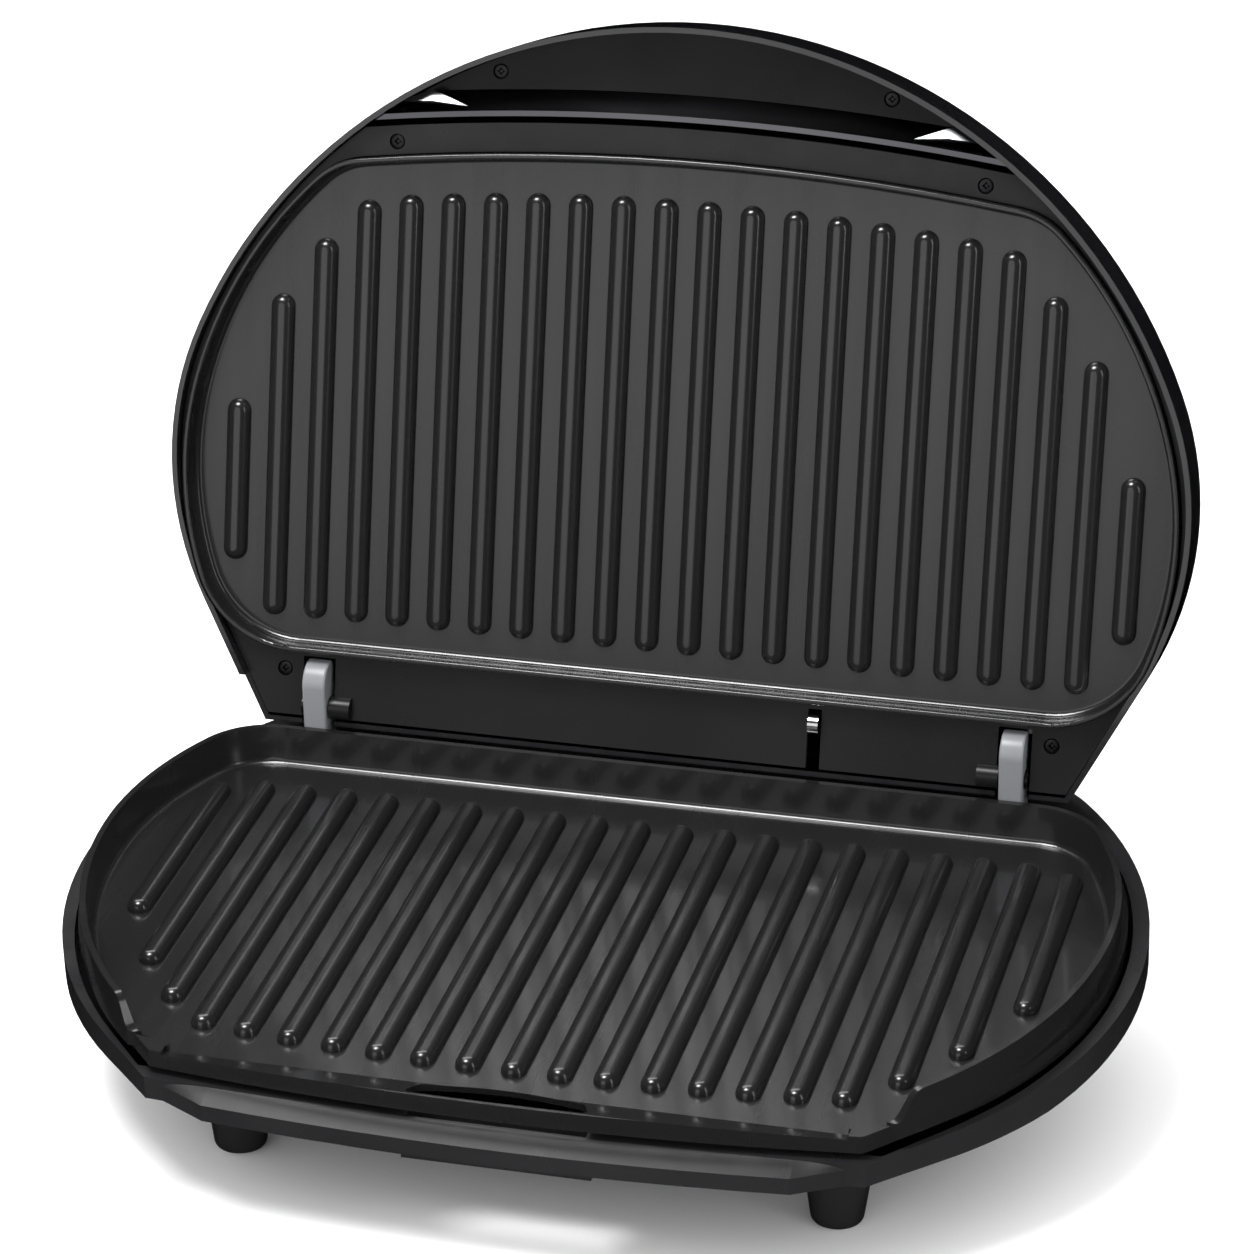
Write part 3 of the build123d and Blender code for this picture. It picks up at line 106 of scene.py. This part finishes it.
@dataclass
class Shader:
    """A material under construction, with short ways to add and join its nodes."""

    name: str
    material: bpy.types.Material = field(init=False)

    def __post_init__(self) -> None:
        """Starts from an empty node tree with one Principled shader."""
        self.material = bpy.data.materials.new(self.name)
        self.material.use_nodes = True
        self.tree = self.material.node_tree
        self.tree.nodes.clear()
        output = self.tree.nodes.new("ShaderNodeOutputMaterial")
        self.skin = self.tree.nodes.new("ShaderNodeBsdfPrincipled")
        self.join(self.skin.outputs["BSDF"], output.inputs["Surface"])
        self.place = self.tree.nodes.new("ShaderNodeTexCoord").outputs["Object"]

    def join(self, source: bpy.types.NodeSocket, target: bpy.types.NodeSocket) -> None:
        """Links two sockets.

        Args:
            source: The output socket.
            target: The input socket.
        """
        self.tree.links.new(source, target)

    def stretched(self, scale: tuple[float, float, float]) -> bpy.types.NodeSocket:
        """Object coordinates stretched by a scale.

        Args:
            scale: The factor along each axis.

        Returns:
            The socket that gives the stretched place.
        """
        mapping = self.tree.nodes.new("ShaderNodeMapping")
        mapping.inputs["Scale"].default_value = scale
        self.join(self.place, mapping.inputs["Vector"])
        return mapping.outputs["Vector"]

    def noise(
        self, scale: float, detail: float, place: bpy.types.NodeSocket | None = None
    ) -> bpy.types.NodeSocket:
        """Noise over the object.

        Args:
            scale: Waves to a metre, roughly.
            detail: Octaves.
            place: Coordinates other than plain object ones.

        Returns:
            The socket with a value near 0.5.
        """
        node = self.tree.nodes.new("ShaderNodeTexNoise")
        node.inputs["Scale"].default_value = scale
        node.inputs["Detail"].default_value = detail
        self.join(place or self.place, node.inputs["Vector"])
        return node.outputs["Fac"]

    def spread(self, value: bpy.types.NodeSocket, low: float, high: float) -> bpy.types.NodeSocket:
        """Maps the middle part of a noise to a range.

        Args:
            value: The noise.
            low: The result where the noise is NOISE_LOW.
            high: The result where the noise is NOISE_HIGH.

        Returns:
            The mapped value.
        """
        node = self.tree.nodes.new("ShaderNodeMapRange")
        node.inputs["From Min"].default_value = NOISE_LOW
        node.inputs["From Max"].default_value = NOISE_HIGH
        node.inputs["To Min"].default_value = low
        node.inputs["To Max"].default_value = high
        self.join(value, node.inputs["Value"])
        return node.outputs["Result"]

    def tint(self, value: bpy.types.NodeSocket, dark: tuple, light: tuple) -> None:
        """Drives the base colour from a noise, between two colours.

        Args:
            value: The noise.
            dark: The colour where the noise is low.
            light: The colour where the noise is high.
        """
        ramp = self.tree.nodes.new("ShaderNodeValToRGB")
        stops = ((NOISE_LOW, dark), (NOISE_HIGH, light))
        for element, (position, colour) in zip(ramp.color_ramp.elements, stops):
            element.position = position
            element.color = (*colour, 1)
        self.join(value, ramp.inputs["Fac"])
        self.join(ramp.outputs["Color"], self.skin.inputs["Base Color"])

    def relief(self, value: bpy.types.NodeSocket, height: float, strength: float = 1.0) -> None:
        """Raises the surface by a noise.

        Args:
            value: The noise.
            height: The rise in metres.
            strength: How much of the bump shows.
        """
        bump = self.tree.nodes.new("ShaderNodeBump")
        bump.inputs["Distance"].default_value = height
        bump.inputs["Strength"].default_value = strength
        self.join(value, bump.inputs["Height"])
        self.join(bump.outputs["Normal"], self.skin.inputs["Normal"])

    def set(self, **values: float) -> None:
        """Sets values on the shader's own sockets.

        Args:
            **values: A value for each socket, named with underscores for spaces.
        """
        for name, value in values.items():
            self.skin.inputs[name.replace("_", " ")].default_value = value


# Finishes


@dataclass(frozen=True)
class Moulded:
    """Moulded plastic: a nearly even colour with a fine skin texture and faint handling marks."""

    name: str
    dark: tuple[float, float, float]
    light: tuple[float, float, float]
    gloss: tuple[float, float]
    grain: float = 1600.0
    relief: float = 0.00001
    coat: float = 0.0
    ior: float = 1.5
    blotches: float = 14.0
    marks: float = 60.0
    coat_gloss: float = 0.04

    def material(self) -> bpy.types.Material:
        """Builds the material.

        Returns:
            The material.
        """
        shader = Shader(self.name)
        shader.tint(shader.noise(self.blotches, 3.0), self.dark, self.light)
        marks = shader.noise(self.marks, 4.0)
        shader.join(shader.spread(marks, *self.gloss), shader.skin.inputs["Roughness"])
        shader.relief(shader.noise(self.grain, 1.0), self.relief)
        shader.set(IOR=self.ior, Coat_Weight=self.coat, Coat_Roughness=self.coat_gloss)
        return shader.material


@dataclass(frozen=True)
class Coated:
    """Non-stick coating over a casting: dark, satin, with a sprayed orange-peel skin."""

    name: str
    dark: tuple[float, float, float] = (0.007, 0.007, 0.0075)
    light: tuple[float, float, float] = (0.011, 0.011, 0.0115)
    gloss: tuple[float, float] = (0.22, 0.29)
    peel: float = 420.0
    fleck: float = 3200.0
    streak: tuple[float, float, float] = (90.0, 6.0, 6.0)
    relief: float = 0.00001
    relief_strength: float = 0.4
    ior: float = 1.55
    coat: float = 0.45
    coat_gloss: float = 0.09

    def material(self) -> bpy.types.Material:
        """Builds the material.

        Returns:
            The material.
        """
        shader = Shader(self.name)
        shader.tint(shader.noise(self.fleck, 1.0), self.dark, self.light)
        streaks = shader.noise(1.0, 3.0, shader.stretched(self.streak))
        shader.join(shader.spread(streaks, *self.gloss), shader.skin.inputs["Roughness"])
        shader.relief(shader.noise(self.peel, 3.0), self.relief, self.relief_strength)
        shader.set(IOR=self.ior, Coat_Weight=self.coat, Coat_Roughness=self.coat_gloss)
        return shader.material


@dataclass(frozen=True)
class Metal:
    """Bare or plated metal, with streaks along one direction."""

    name: str
    dark: tuple[float, float, float]
    light: tuple[float, float, float]
    gloss: tuple[float, float]
    streak: tuple[float, float, float] = (20.0, 600.0, 600.0)
    relief: float = 0.000004

    def material(self) -> bpy.types.Material:
        """Builds the material.

        Returns:
            The material.
        """
        shader = Shader(self.name)
        streaks = shader.noise(1.0, 3.0, shader.stretched(self.streak))
        shader.tint(streaks, self.dark, self.light)
        shader.join(shader.spread(streaks, *self.gloss), shader.skin.inputs["Roughness"])
        shader.relief(streaks, self.relief)
        shader.set(Metallic=1.0)
        return shader.material


class Finish(Enum):
    """Every finish on the grill."""

    HOUSING = Moulded("housing_black", (0.010, 0.010, 0.011), (0.016, 0.016, 0.017), (0.26, 0.38))
    LID_SHELL = Moulded(
        "lid_black", (0.006, 0.006, 0.007), (0.010, 0.010, 0.011), (0.10, 0.16), 300.0, 0.00002, 0.6
    )
    PANEL = Moulded("panel_black", (0.006, 0.006, 0.0065), (0.010, 0.010, 0.0105), (0.26, 0.36), ior=1.38)
    HANDLE = Moulded("handle_black", (0.003, 0.003, 0.0035), (0.006, 0.006, 0.0065), (0.16, 0.24), ior=1.24)
    ARM = Moulded("arm_grey", (0.17, 0.175, 0.185), (0.22, 0.225, 0.235), (0.30, 0.40), 2200.0, 0.000008)
    FOOT = Moulded("foot_black", (0.012, 0.012, 0.012), (0.020, 0.020, 0.020), (0.32, 0.48), 900.0, 0.00003)
    CERAMIC = Moulded(
        "ceramic_white", (0.68, 0.66, 0.60), (0.78, 0.76, 0.70), (0.12, 0.25), 500.0, 0.00002, 0.4
    )
    PLATE = Coated("plate_coating")
    # The strip's chrome is darkened to 0.10-0.14 so its reflections read dim: painted shade; the tips below
    # carry a lighter copy of the same chrome
    TRIM = Metal("bright_trim", (0.10, 0.10, 0.11), (0.14, 0.14, 0.15), (0.05, 0.10), (6.0, 60.0, 60.0))
    SCREW = Metal(
        "screw_steel", (0.030, 0.030, 0.032), (0.060, 0.060, 0.064), (0.28, 0.42), (400.0, 400.0, 400.0)
    )
    HEATER = Metal(
        "heater_steel", (0.20, 0.19, 0.17), (0.34, 0.33, 0.30), (0.35, 0.55), (120.0, 120.0, 120.0)
    )
    SHEET = Metal("sheet_metal", (0.62, 0.62, 0.63), (0.76, 0.76, 0.77), (0.22, 0.38))
    # A lighter, rougher copy of the trim chrome for the strip's end facets: painted reflection of the bright
    # surroundings
    CHROME_PAINTED_REFLECTION = Metal("chrome_tip_painted_reflection", (0.48, 0.49, 0.50), (0.60, 0.61, 0.62), (0.34, 0.42), (60.0, 60.0, 60.0))
    CLIP = Metal("clip_metal", (0.60, 0.60, 0.61), (0.76, 0.76, 0.77), (0.10, 0.20), (300.0, 40.0, 40.0))


FINISHED: dict[Finish, bpy.types.Material] = {}


def finish(kind: Finish) -> bpy.types.Material:
    """The material of a finish, built once.

    Args:
        kind: The finish.

    Returns:
        Its material.
    """
    if kind not in FINISHED:
        FINISHED[kind] = kind.value.material()
    return FINISHED[kind]


# Pieces


def finished_piece(
    name: str, shape: bmesh.types.BMesh, kind: Finish, body: str, node: str | None
) -> bpy.types.Object:
    """Turns a bmesh into a shown piece that rides with a body and stands for a CAD node.

    Args:
        name: The piece's name.
        shape: The mesh under construction, freed here.
        kind: Its finish.
        body: The CAD body it moves with.
        node: The CAD node it stands for, or None for an added detail.

    Returns:
        The piece.
    """
    mesh = bpy.data.meshes.new(name)
    bmesh.ops.recalc_face_normals(shape, faces=shape.faces)
    shape.to_mesh(mesh)
    shape.free()
    mesh.materials.append(finish(kind))
    piece = bpy.data.objects.new(name, mesh)
    bpy.context.scene.collection.objects.link(piece)
    mesh.set_sharp_from_angle(angle=SHARP_ANGLE)
    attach(piece, body)
    if node:
        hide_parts(node)
    log.info("built %s", name)
    return piece


def add_shape(target: bmesh.types.BMesh, shape: bmesh.types.BMesh, place: Matrix) -> None:
    """Adds a placed copy of a small mesh to a larger one.

    Args:
        target: The mesh that grows.
        shape: The mesh to copy, left as it is.
        place: Where the copy goes.
    """
    holder = bpy.data.meshes.new("holder")
    shape.to_mesh(holder)
    holder.transform(place)
    target.from_mesh(holder)
    bpy.data.meshes.remove(holder)


@dataclass(frozen=True)
class Screws:
    """Recessed screws with a rounded head and a small cross recess, in the plane of the lid."""

    name: str
    replaces: str
    points: tuple[tuple[float, float], ...]
    seat: float
    radius: float = 3.0 * MM
    height: float = 1.7 * MM
    shank: float = 1.5 * MM
    grip: float = 5.0 * MM
    sides: int = 32
    rounding: float = 0.45 * MM
    rounding_steps: int = 3
    recess_inset: float = 0.42
    recess_depth: float = 0.55
    recess_taper: float = 0.5
    slot_reach: float = 0.38

    def one(self) -> bmesh.types.BMesh:
        """Shapes one screw on its seat, with Z out of the panel.

        Returns:
            The screw's mesh, freed by the caller.
        """
        shape = bmesh.new()
        head = bmesh.ops.create_cone(
            shape,
            cap_ends=True,
            segments=self.sides,
            radius1=self.radius,
            radius2=self.radius,
            depth=self.height,
        )["verts"]
        bmesh.ops.translate(shape, verts=head, vec=(0, 0, self.height / 2))
        caps = [face for face in shape.faces if len(face.verts) == self.sides]
        under, over = sorted(caps, key=lambda face: face.calc_center_median().z)
        bmesh.ops.inset_region(shape, faces=[under], thickness=self.radius - self.shank)
        self.sink(shape, under, -self.grip, 1.0)
        rim = list(over.edges)
        bmesh.ops.inset_region(shape, faces=[over], thickness=self.radius * self.recess_inset)
        for vert in over.verts:
            cross = math.cos(4 * math.atan2(vert.co.y, vert.co.x))
            reach = 1 - self.slot_reach + self.slot_reach * max(0.0, cross) ** 2
            vert.co.x *= reach
            vert.co.y *= reach
        self.sink(shape, over, -self.height * self.recess_depth, self.recess_taper)
        bmesh.ops.bevel(
            shape,
            geom=rim,
            offset=self.rounding,
            segments=self.rounding_steps,
            profile=0.5,
            affect="EDGES",
            material=-1,
        )
        return shape

    def sink(self, shape: bmesh.types.BMesh, face: bmesh.types.BMFace, depth: float, narrow: float) -> None:
        """Moves a face straight along Z with walls round it, and narrows it.

        Args:
            shape: The mesh under construction.
            face: The face that moves.
            depth: How far it moves along Z.
            narrow: Its size after the move, as a share of its size before.
        """
        moved = bmesh.ops.extrude_discrete_faces(shape, faces=[face])["faces"][0]
        for vert in moved.verts:
            vert.co.x *= narrow
            vert.co.y *= narrow
            vert.co.z += depth

    def build(self) -> bpy.types.Object:
        """Makes every screw as one piece that stands for the CAD node.

        Returns:
            The piece.
        """
        screw = self.one()
        shape = bmesh.new()
        for x, v in self.points:
            add_shape(shape, screw, lid_place() @ Matrix.Translation((x * MM, v * MM, self.seat * MM)))
        screw.free()
        return finished_piece(self.name, shape, Finish.SCREW, "lid", self.replaces)


@dataclass(frozen=True)
class TrimTips:
    """The polished facets that end the strip between the panel and the grip, in a lighter copy of the
    strip's chrome that paints the reflection of the bright surroundings.
    """

    corners: tuple[tuple[float, float], ...] = ((92.7, 221.2), (121.4, 221.2), (108.0, 227.0))
    seat: float = 2.0
    thickness: float = 0.6
    crown: float = 3.0

    def one(self, side: int) -> bmesh.types.BMesh:
        """Shapes one tip from a three-sided disc with a raised middle.

        Args:
            side: 1 for the right end, -1 for the left one.

        Returns:
            The tip's mesh, freed by the caller.
        """
        shape = bmesh.new()
        disc = bmesh.ops.create_circle(shape, cap_ends=True, segments=len(self.corners), radius=1.0)["verts"]
        for vert, (x, v) in zip(disc, self.corners):
            vert.co = Vector((side * x, v, self.seat)) * MM
        bottom = shape.faces[:]
        top = bmesh.ops.extrude_face_region(shape, geom=bottom)["geom"]
        raised = [part for part in top if isinstance(part, bmesh.types.BMVert)]
        bmesh.ops.translate(shape, verts=raised, vec=(0, 0, self.thickness * MM))
        faces = [part for part in top if isinstance(part, bmesh.types.BMFace)]
        bmesh.ops.recalc_face_normals(shape, faces=shape.faces)
        bmesh.ops.poke(shape, faces=faces, offset=self.crown * MM)
        return shape

    def build(self) -> bpy.types.Object:
        """Makes both tips as one piece.

        Returns:
            The piece.
        """
        shape = bmesh.new()
        for side in (-1, 1):
            tip = self.one(side)
            add_shape(shape, tip, lid_place())
            tip.free()
        # The tips wear the lighter chrome copy, a painted reflection
        return finished_piece("trim_tips", shape, Finish.CHROME_PAINTED_REFLECTION, "lid", None)


@dataclass
class Dressing:
    """CAD nodes of one body that keep their shape: each gets a finish, and those listed in edges also get
    softened edges.
    """

    nodes: dict[str, Finish]
    edges: dict[str, float] = field(default_factory=dict)
    weld: float = 0.000002
    bevel_steps: int = 2
    bevel_angle: float = math.radians(35)

    def dress(self, frame: dict) -> None:
        """Puts the finishes on and rounds the sharp edges by a small modifier.

        Args:
            frame: The loaded frame.
        """
        for name, kind in self.nodes.items():
            node = frame["nodes"][name]
            node.data.materials.clear()
            node.data.materials.append(finish(kind))
            if name in self.edges:
                self.soften(node, self.edges[name])
            log.info("dressed %s in %s", name, kind.value.name)

    def soften(self, node: bpy.types.Object, width: float) -> None:
        """Welds the loose triangles and bevels the sharp edges.

        Args:
            node: The CAD node's object.
            width: The bevel width in metres.
        """
        weld = node.modifiers.new("weld", "WELD")
        weld.merge_threshold = self.weld
        bevel = node.modifiers.new("edges", "BEVEL")
        bevel.width = width
        bevel.segments = self.bevel_steps
        bevel.limit_method = "ANGLE"
        bevel.angle_limit = self.bevel_angle
        bevel.harden_normals = True


BASE = Dressing(
    nodes={
        "base_housing": Finish.HOUSING,
        "bottom_cover": Finish.HOUSING,
        "lower_plate": Finish.PLATE,
        "front_feet": Finish.FOOT,
        "rear_feet": Finish.FOOT,
        "hinge_arm_left": Finish.ARM,
        "hinge_arm_right": Finish.ARM,
        "cord_gland": Finish.FOOT,
        "terminal_block": Finish.CERAMIC,
        "lower_heater": Finish.HEATER,
        "lower_heater_clamps": Finish.SHEET,
        "lower_clamp_screws": Finish.SCREW,
        "lower_reflector": Finish.SHEET,
        "thermostat": Finish.SHEET,
        "thermal_fuse": Finish.SHEET,
        "arm_screws": Finish.SCREW,
        "plate_screws": Finish.SCREW,
        "cover_screws": Finish.SCREW,
        "foot_screws": Finish.SCREW,
    },
    edges={"hinge_arm_left": 0.8 * MM, "hinge_arm_right": 0.8 * MM},
)
LID = Dressing(
    nodes={
        "lid_cover": Finish.LID_SHELL,
        "lid_frame": Finish.PANEL,
        "handle_panel": Finish.HANDLE,
        "trim_strip": Finish.TRIM,
        "upper_plate": Finish.PLATE,
        "upper_heater": Finish.HEATER,
        "upper_heater_clamps": Finish.SHEET,
        "upper_clamp_screws": Finish.SCREW,
        "upper_reflector": Finish.SHEET,
        "reflector_screws": Finish.SCREW,
        "upper_plate_screws": Finish.SCREW,
        "hinge_pins": Finish.SCREW,
        "lead_clip": Finish.CLIP,
    },
)


SCREWS = (
    Screws(
        "panel_screws",
        "frame_screws",
        ((-163.6, -21.3), (163.6, -21.3), (-122.5, 204.4), (122.5, 204.4)),
        -0.95,
    ),
    Screws("grip_screws", "handle_screws", ((-81.4, 235.5), (81.4, 235.5)), -6.2, height=1.0 * MM),
)


# Studio


@dataclass(frozen=True)
class View:
    """The photograph's camera, given in the plane of the lower plate."""

    place: tuple[float, float, float] = (454.9 * MM, -1703.5 * MM, 975.0 * MM)
    azimuth: float = math.radians(15.09)
    elevation: float = math.radians(26.72)
    roll: float = math.radians(-1.27)
    lens: float = 140.64
    sensor: float = 36.0

    def build(self) -> bpy.types.Object:
        """Makes the camera and gives it to the scene.

        Returns:
            The camera object.
        """
        a, e = self.azimuth, self.elevation
        back = Vector((math.sin(a) * math.cos(e), -math.cos(a) * math.cos(e), math.sin(e)))
        right = Vector((0, 0, 1)).cross(back).normalized()
        up = back.cross(right)
        turn = Matrix((right, up, back)).transposed().to_4x4() @ Matrix.Rotation(self.roll, 4, "Z")
        data = bpy.data.cameras.new("camera")
        data.lens = self.lens
        data.sensor_width = self.sensor
        camera = bpy.data.objects.new("camera", data)
        bpy.context.scene.collection.objects.link(camera)
        camera.matrix_world = plate_place() @ Matrix.Translation(self.place) @ turn
        bpy.context.scene.camera = camera
        return camera


@dataclass(frozen=True)
class Softbox:
    """A soft rectangular light."""

    name: str
    place: tuple[float, float, float]
    target: tuple[float, float, float]
    size: tuple[float, float]
    power: float

    def build(self) -> bpy.types.Object:
        """Makes the light, facing its target.

        Returns:
            The light object.
        """
        data = bpy.data.lights.new(self.name, "AREA")
        data.shape = "RECTANGLE"
        data.size, data.size_y = self.size
        data.energy = self.power
        light = bpy.data.objects.new(self.name, data)
        bpy.context.scene.collection.objects.link(light)
        aim = Vector(self.target) - Vector(self.place)
        turn = aim.to_track_quat("-Z", "Y").to_matrix().to_4x4()
        light.matrix_world = Matrix.Translation(self.place) @ turn
        return light


@dataclass(frozen=True)
class Studio:
    """Pale floor, soft lights and a white sky."""

    floor_size: float = 12.0
    floor_light: tuple[float, float, float] = (0.93, 0.93, 0.93)
    floor_dark: tuple[float, float, float] = (0.91, 0.91, 0.91)
    floor_gloss: float = 0.85
    sky: float = 1.5
    boxes: tuple[Softbox, ...] = (
        Softbox("low_light", (-0.55, -2.0, 0.6), (0.0, 0.1, 0.25), (1.2, 1.2), 4.8),
        Softbox("rear_light", (-0.56, 0.85, 2.0), (0.0, 0.0, 0.15), (1.8, 0.8), 18.0),
        Softbox("spark_light", (-0.5, -0.6, 2.0), (0.0, 0.0, 0.2), (0.7, 0.8), 40.0),
        Softbox("edge_light", (1.7, -1.0, 0.9), (0.0, 0.0, 0.25), (0.3, 1.5), 4.5),
    )

    def build(self) -> None:
        """Makes the floor, the lights and the sky."""
        mesh = bpy.data.meshes.new("floor")
        shape = bmesh.new()
        bmesh.ops.create_grid(shape, x_segments=1, y_segments=1, size=self.floor_size)
        shape.to_mesh(mesh)
        shape.free()
        floor = bpy.data.objects.new("floor", mesh)
        bpy.context.scene.collection.objects.link(floor)
        paint = Shader("floor_paint")
        paint.tint(paint.noise(2.0, 2.0), self.floor_dark, self.floor_light)
        paint.set(Roughness=self.floor_gloss)
        mesh.materials.append(paint.material)
        floor.visible_glossy = False
        for box in self.boxes:
            box.build()
        world = bpy.data.worlds.new("sky")
        world.use_nodes = True
        background = world.node_tree.nodes["Background"]
        background.inputs["Color"].default_value = (1, 1, 1, 1)
        background.inputs["Strength"].default_value = self.sky
        world.cycles_visibility.glossy = False
        bpy.context.scene.world = world
        bpy.context.scene.view_settings.view_transform = "Standard"


def corners(bounds: tuple) -> list[list[float]]:
    """A pair of corners as plain lists.

    Args:
        bounds: The lowest and the highest corner.

    Returns:
        The same corners, fit for JSON.
    """
    return [[float(value) for value in corner] for corner in bounds]


def main() -> None:
    """Builds the scene in order and reports each piece."""
    logging.basicConfig(level=logging.INFO, format="%(message)s")
    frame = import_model()
    View().build()
    Studio().build()
    for part in (BASE, LID):
        part.dress(frame)
    for screws in SCREWS:
        screws.build()
    TrimTips().build()


if __name__ == "__main__":
    main()
